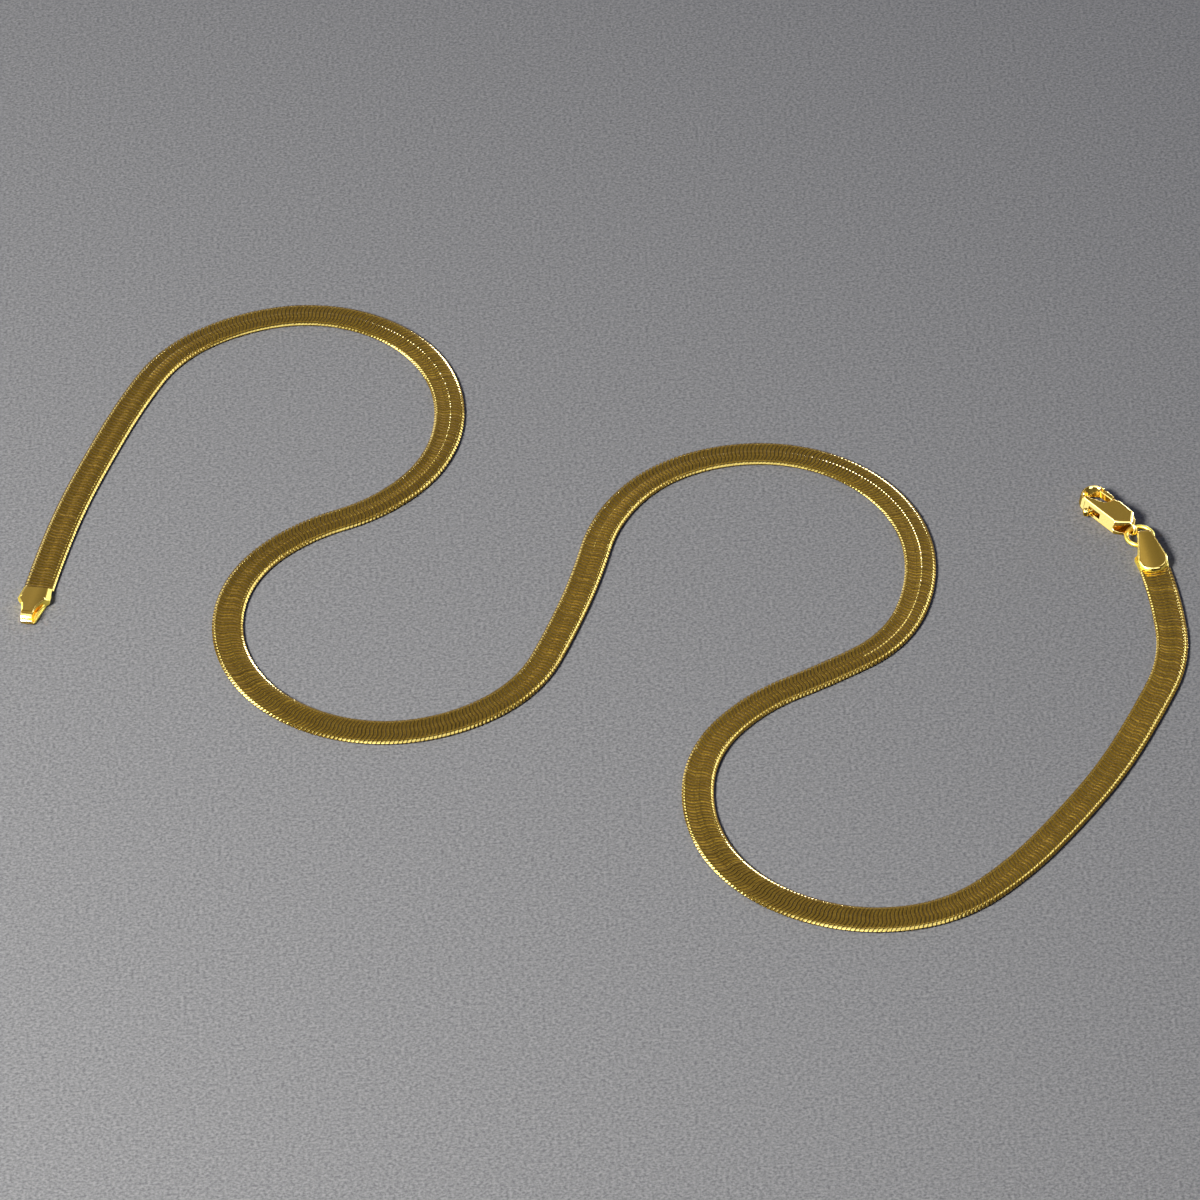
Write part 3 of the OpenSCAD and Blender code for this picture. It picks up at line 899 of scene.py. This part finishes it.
def make_ring(place, material):
    """The jump ring, a round wire bent to a circle."""
    around, about = RING_STEPS
    i, j = np.meshgrid(np.arange(around), np.arange(about), indexing="ij")
    u = i * 2 * math.pi / around
    v = j * 2 * math.pi / about
    reach = RING_D / 2 + RING_WIRE / 2 * np.cos(v)
    points = np.stack([place[0] + reach * np.cos(u), place[1] + reach * np.sin(u),
                       RING_Z + RING_WIRE / 2 * np.sin(v)], -1).reshape(-1, 3)
    i_next, j_next = (i + 1) % around, (j + 1) % about
    corners = ((i, j), (i_next, j), (i_next, j_next), (i, j_next))
    quads = np.stack([a * about + b for a, b in corners], -1)
    piece = new_object("ring_wire", points, quads.reshape(-1, 4).tolist(), material)
    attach(piece, NECKLACE)
    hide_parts("jump_ring")


def make_end_pieces(route, shift, material, glow_material):
    """Caps, ring, clasp and lever, placed from the ends of the route."""
    ends, headings = route.at([0, CHAIN_LENGTH])
    first, last = np.degrees(headings)
    loop_tip = ends[0] + shift - (CAP_LENGTH + TIP_GAP) * unit(first)
    clasp_tip = ends[1] + shift + (CAP_LENGTH + TIP_GAP) * unit(last)
    make_cap("loop_cap_skin", "loop_end_cap", loop_tip, first, PLATE_T, pear_plan, bottle_plan,
             material, glow_material)
    make_cap("clasp_cap_skin", "clasp_end_cap", clasp_tip, last + 180, POCKET_TOP, bottle_plan, pear_plan,
             material, glow_material)
    ring_at = clasp_tip - RING_BACK * unit(last) + RING_SIDE * unit(last + 90)
    # The ring takes the same gold with painted bounce light
    make_ring(ring_at, glow_material)
    heading = last + CLASP_TURN
    clasp_at = ring_at + RING_TO_TAIL * unit(heading) - RING_TO_AXIS * unit(heading + 90)
    low = (-TAIL_BACK, CLASP_LOW_Y, 0)
    high = (CLASP_LENGTH, CLASP_HIGH_Y, CLASP_H)
    body = solid("clasp_skin", clasp_field, low, high, CLASP_STEP, clasp_at, heading, material)
    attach(body, NECKLACE)
    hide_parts("clasp_body")
    lever = solid("lever_skin", lever_field, low, high, CLASP_STEP, clasp_at, heading, material)
    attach(lever, TRIGGER)
    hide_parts("clasp_lever")


# Materials

def new_material(name):
    """A material with its nodes, links and main shader."""
    material = bpy.data.materials.new(name)
    material.use_nodes = True
    nodes = material.node_tree.nodes
    return material, nodes, material.node_tree.links, nodes["Principled BSDF"]


def noise(nodes, scale, detail, roughness=0.5):
    """A noise texture of the given fineness."""
    texture = nodes.new("ShaderNodeTexNoise")
    texture.inputs["Scale"].default_value = scale
    texture.inputs["Detail"].default_value = detail
    texture.inputs["Roughness"].default_value = roughness
    return texture


def map_range(nodes, low=0.0, high=1.0, to_low=0.0, to_high=1.0):
    """A node that maps one range onto another."""
    mapping = nodes.new("ShaderNodeMapRange")
    mapping.inputs["From Min"].default_value = low
    mapping.inputs["From Max"].default_value = high
    mapping.inputs["To Min"].default_value = to_low
    mapping.inputs["To Max"].default_value = to_high
    return mapping


def add_relief(nodes, links, height, shader, strength, depth):
    """Fine relief from a height socket, with its depth in metres."""
    relief = nodes.new("ShaderNodeBump")
    relief.inputs["Strength"].default_value = strength
    relief.inputs["Distance"].default_value = depth
    links.new(height, relief.inputs["Height"])
    links.new(relief.outputs["Normal"], shader.inputs["Normal"])


def gold(name, colour, roughness, grain, grain_scale, bump, coat=COAT, mottle=MOTTLE):
    """Gold alloy with fine polishing marks and a slightly uneven finish."""
    material, nodes, links, shader = new_material(name)
    shader.inputs["Metallic"].default_value = 1.0
    shader.inputs["Coat Weight"].default_value = coat
    shader.inputs["Coat IOR"].default_value = COAT_IOR
    shader.inputs["Coat Roughness"].default_value = roughness
    place = nodes.new("ShaderNodeTexCoord")
    fine = noise(nodes, grain_scale, 4.0)
    links.new(place.outputs["Object"], fine.inputs["Vector"])
    tint = nodes.new("ShaderNodeMixRGB")
    darker = [part * (1 - share * mottle) for part, share in zip(colour, MOTTLE_SHARES)]
    tint.inputs["Color1"].default_value = (*colour, 1)
    tint.inputs["Color2"].default_value = (*darker, 1)
    patches = map_range(nodes, *MOTTLE_LEVELS)
    links.new(fine.outputs["Fac"], patches.inputs["Value"])
    links.new(patches.outputs["Result"], tint.inputs["Fac"])
    links.new(tint.outputs["Color"], shader.inputs["Base Color"])
    rough = map_range(nodes, to_low=roughness - grain, to_high=roughness + grain)
    links.new(fine.outputs["Fac"], rough.inputs["Value"])
    links.new(rough.outputs["Result"], shader.inputs["Roughness"])
    add_relief(nodes, links, fine.outputs["Fac"], shader, bump, GRAIN_DEPTH * MM)
    return material


def cloth_material():
    """Grey cloth of fine crossed threads."""
    material, nodes, links, shader = new_material("floor_cloth")
    place = nodes.new("ShaderNodeTexCoord")
    stretch = nodes.new("ShaderNodeMapping")
    stretch.inputs["Scale"].default_value = THREAD_STRETCH
    links.new(place.outputs["Object"], stretch.inputs["Vector"])
    threads = noise(nodes, THREAD_SCALE, 3.0)
    links.new(stretch.outputs["Vector"], threads.inputs["Vector"])
    shades = noise(nodes, SHADE_SCALE, 5.0, 0.7)
    links.new(place.outputs["Object"], shades.inputs["Vector"])
    blend = nodes.new("ShaderNodeMixRGB")
    blend.inputs["Fac"].default_value = 0.5
    links.new(threads.outputs["Fac"], blend.inputs["Color1"])
    links.new(shades.outputs["Fac"], blend.inputs["Color2"])
    ramp = nodes.new("ShaderNodeValToRGB")
    for stop, position, parts in zip(ramp.color_ramp.elements, THREAD_STOPS, (THREAD_DARK, THREAD_PALE)):
        stop.position = position
        stop.color = (*(FLOOR_SHADE * part for part in parts), 1)
    links.new(blend.outputs["Color"], ramp.inputs["Fac"])
    links.new(ramp.outputs["Color"], shader.inputs["Base Color"])
    shader.inputs["Roughness"].default_value = 0.9
    shader.inputs["Specular IOR Level"].default_value = 0.2
    add_relief(nodes, links, blend.outputs["Color"], shader, 0.2, THREAD_DEPTH * MM)
    return material


# Surroundings

def make_floor():
    """The cloth on which the chain lies."""
    corners = [(x * FLOOR_HALF, y * FLOOR_HALF, 0) for x, y in ((-1, -1), (1, -1), (1, 1), (-1, 1))]
    floor = new_object("floor", corners, [(0, 1, 2, 3)], cloth_material())


def direction(azimuth, elevation):
    """Unit vector; azimuth 0 is away from the camera, and positive to the right."""
    a = math.radians(azimuth)
    e = math.radians(elevation)
    return Vector((math.sin(a) * math.cos(e), math.cos(a) * math.cos(e), math.sin(e)))


def make_light(name, azimuth, elevation, distance, wide, high, radiance, shape, mirrored):
    """A soft light of even radiance that faces the middle of the part."""
    light = bpy.data.lights.new(name, "AREA")
    light.shape = shape
    light.size = wide
    light.size_y = high
    area = wide * high * (math.pi / 4 if shape == "ELLIPSE" else 1)
    light.energy = radiance * math.pi * area
    if mirrored:
        light.color = LAMP_TINT
    lamp = bpy.data.objects.new(name, light)
    towards = direction(azimuth, elevation)
    lamp.location = towards * distance
    lamp.rotation_euler = towards.to_track_quat("Z", "Y").to_euler()
    lamp.visible_diffuse = not mirrored
    bpy.context.scene.collection.objects.link(lamp)


def make_world():
    """Dim room: paler towards the horizon and uneven, as the flats mirror it."""
    world = bpy.data.worlds.new("studio")
    world.use_nodes = True
    nodes = world.node_tree.nodes
    links = world.node_tree.links
    place = nodes.new("ShaderNodeTexCoord")
    split = nodes.new("ShaderNodeSeparateXYZ")
    ramp = nodes.new("ShaderNodeValToRGB")
    stops = ramp.color_ramp.elements
    stops[0].color = ROOM_LEVEL
    stops[1].color = ROOM_OVERHEAD
    for height, shade in ROOM_SHADES:
        stop = stops.new(height)
        stop.color = (shade, shade, shade * ROOM_BLUE, 1)
    links.new(place.outputs["Generated"], split.inputs["Vector"])
    links.new(split.outputs["Z"], ramp.inputs["Fac"])
    patches = noise(nodes, ROOM_PATCH_SCALE, 1.0)
    links.new(place.outputs["Generated"], patches.inputs["Vector"])
    spread = map_range(nodes, *ROOM_PATCHES)
    links.new(patches.outputs["Fac"], spread.inputs["Value"])
    back = map_range(nodes, *ROOM_FALL)
    links.new(split.outputs["Y"], back.inputs["Value"])
    shade = nodes.new("ShaderNodeMath")
    shade.operation = "MULTIPLY"
    links.new(spread.outputs["Result"], shade.inputs[0])
    links.new(back.outputs["Result"], shade.inputs[1])
    links.new(ramp.outputs["Color"], nodes["Background"].inputs["Color"])
    links.new(shade.outputs["Value"], nodes["Background"].inputs["Strength"])
    bpy.context.scene.world = world


def make_lights():
    """All lamps, and the room."""
    for name, values in LIGHTS.items():
        make_light(name, *values, mirrored=name != "key_lamp")
    make_world()


def make_camera():
    """The photograph's camera, rolled and turned to its level and aim."""
    elevation = math.radians(VIEW_ELEVATION)
    ahead = Vector((0, math.cos(elevation), -math.sin(elevation)))
    right = Vector((1, 0, 0))
    up = right.cross(ahead)
    roll = math.radians(VIEW_ROLL)
    x_axis = math.cos(roll) * right + math.sin(roll) * up
    y_axis = math.cos(roll) * up - math.sin(roll) * right
    aim = Vector((VIEW_AIM[0] * MM, VIEW_AIM[1] * MM, 0))
    turn = Matrix.Rotation(math.radians(VIEW_TURN), 4, "Z")
    stand = Matrix((x_axis, y_axis, -ahead)).transposed().to_4x4()
    stand.translation = -ahead * VIEW_DISTANCE * MM
    data = bpy.data.cameras.new("photo_camera")
    data.lens = VIEW_LENS
    data.sensor_width = SENSOR_W
    data.clip_end = VIEW_REACH
    camera = bpy.data.objects.new("photo_camera", data)
    camera.matrix_world = Matrix.Translation(aim) @ turn @ stand
    bpy.context.scene.collection.objects.link(camera)
    bpy.context.scene.camera = camera
    bpy.context.scene.view_settings.view_transform = "Standard"


def main():
    route = Route()
    shift = shift_to_part(route)
    # The band's gold, darker than the end pieces' gold: painted shade of the weave
    woven = gold("woven_gold", WOVEN_GOLD_WITH_SHADE, roughness=0.1, grain=0.03, grain_scale=4500.0, bump=0.1,
                 mottle=0.3)
    # Near-black gold for the faces into the gaps between links: painted shade
    sides = gold("link_sides_painted_shade", GAP_SHADE_GOLD, roughness=0.6, grain=0.06, grain_scale=9000.0, bump=0.3,
                 coat=0.0)
    polished = gold("polished_gold", POLISHED_GOLD, roughness=0.12, grain=0.03, grain_scale=6000.0,
                    bump=0.04)
    # Rougher gold painted a brighter yellow as bounce light, for the cap insides and the ring
    glow_gold = gold("matte_gold_painted_glow", GLOW_MATTE_GOLD, roughness=0.38, grain=0.05, grain_scale=6000.0, bump=0.1)
    make_band(route, shift, woven, sides)
    make_end_pieces(route, shift, polished, glow_gold)
    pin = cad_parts["lever_pin"]
    pin.data.materials.clear()
    pin.data.materials.append(polished)
    make_floor()
    make_lights()
    make_camera()


main()
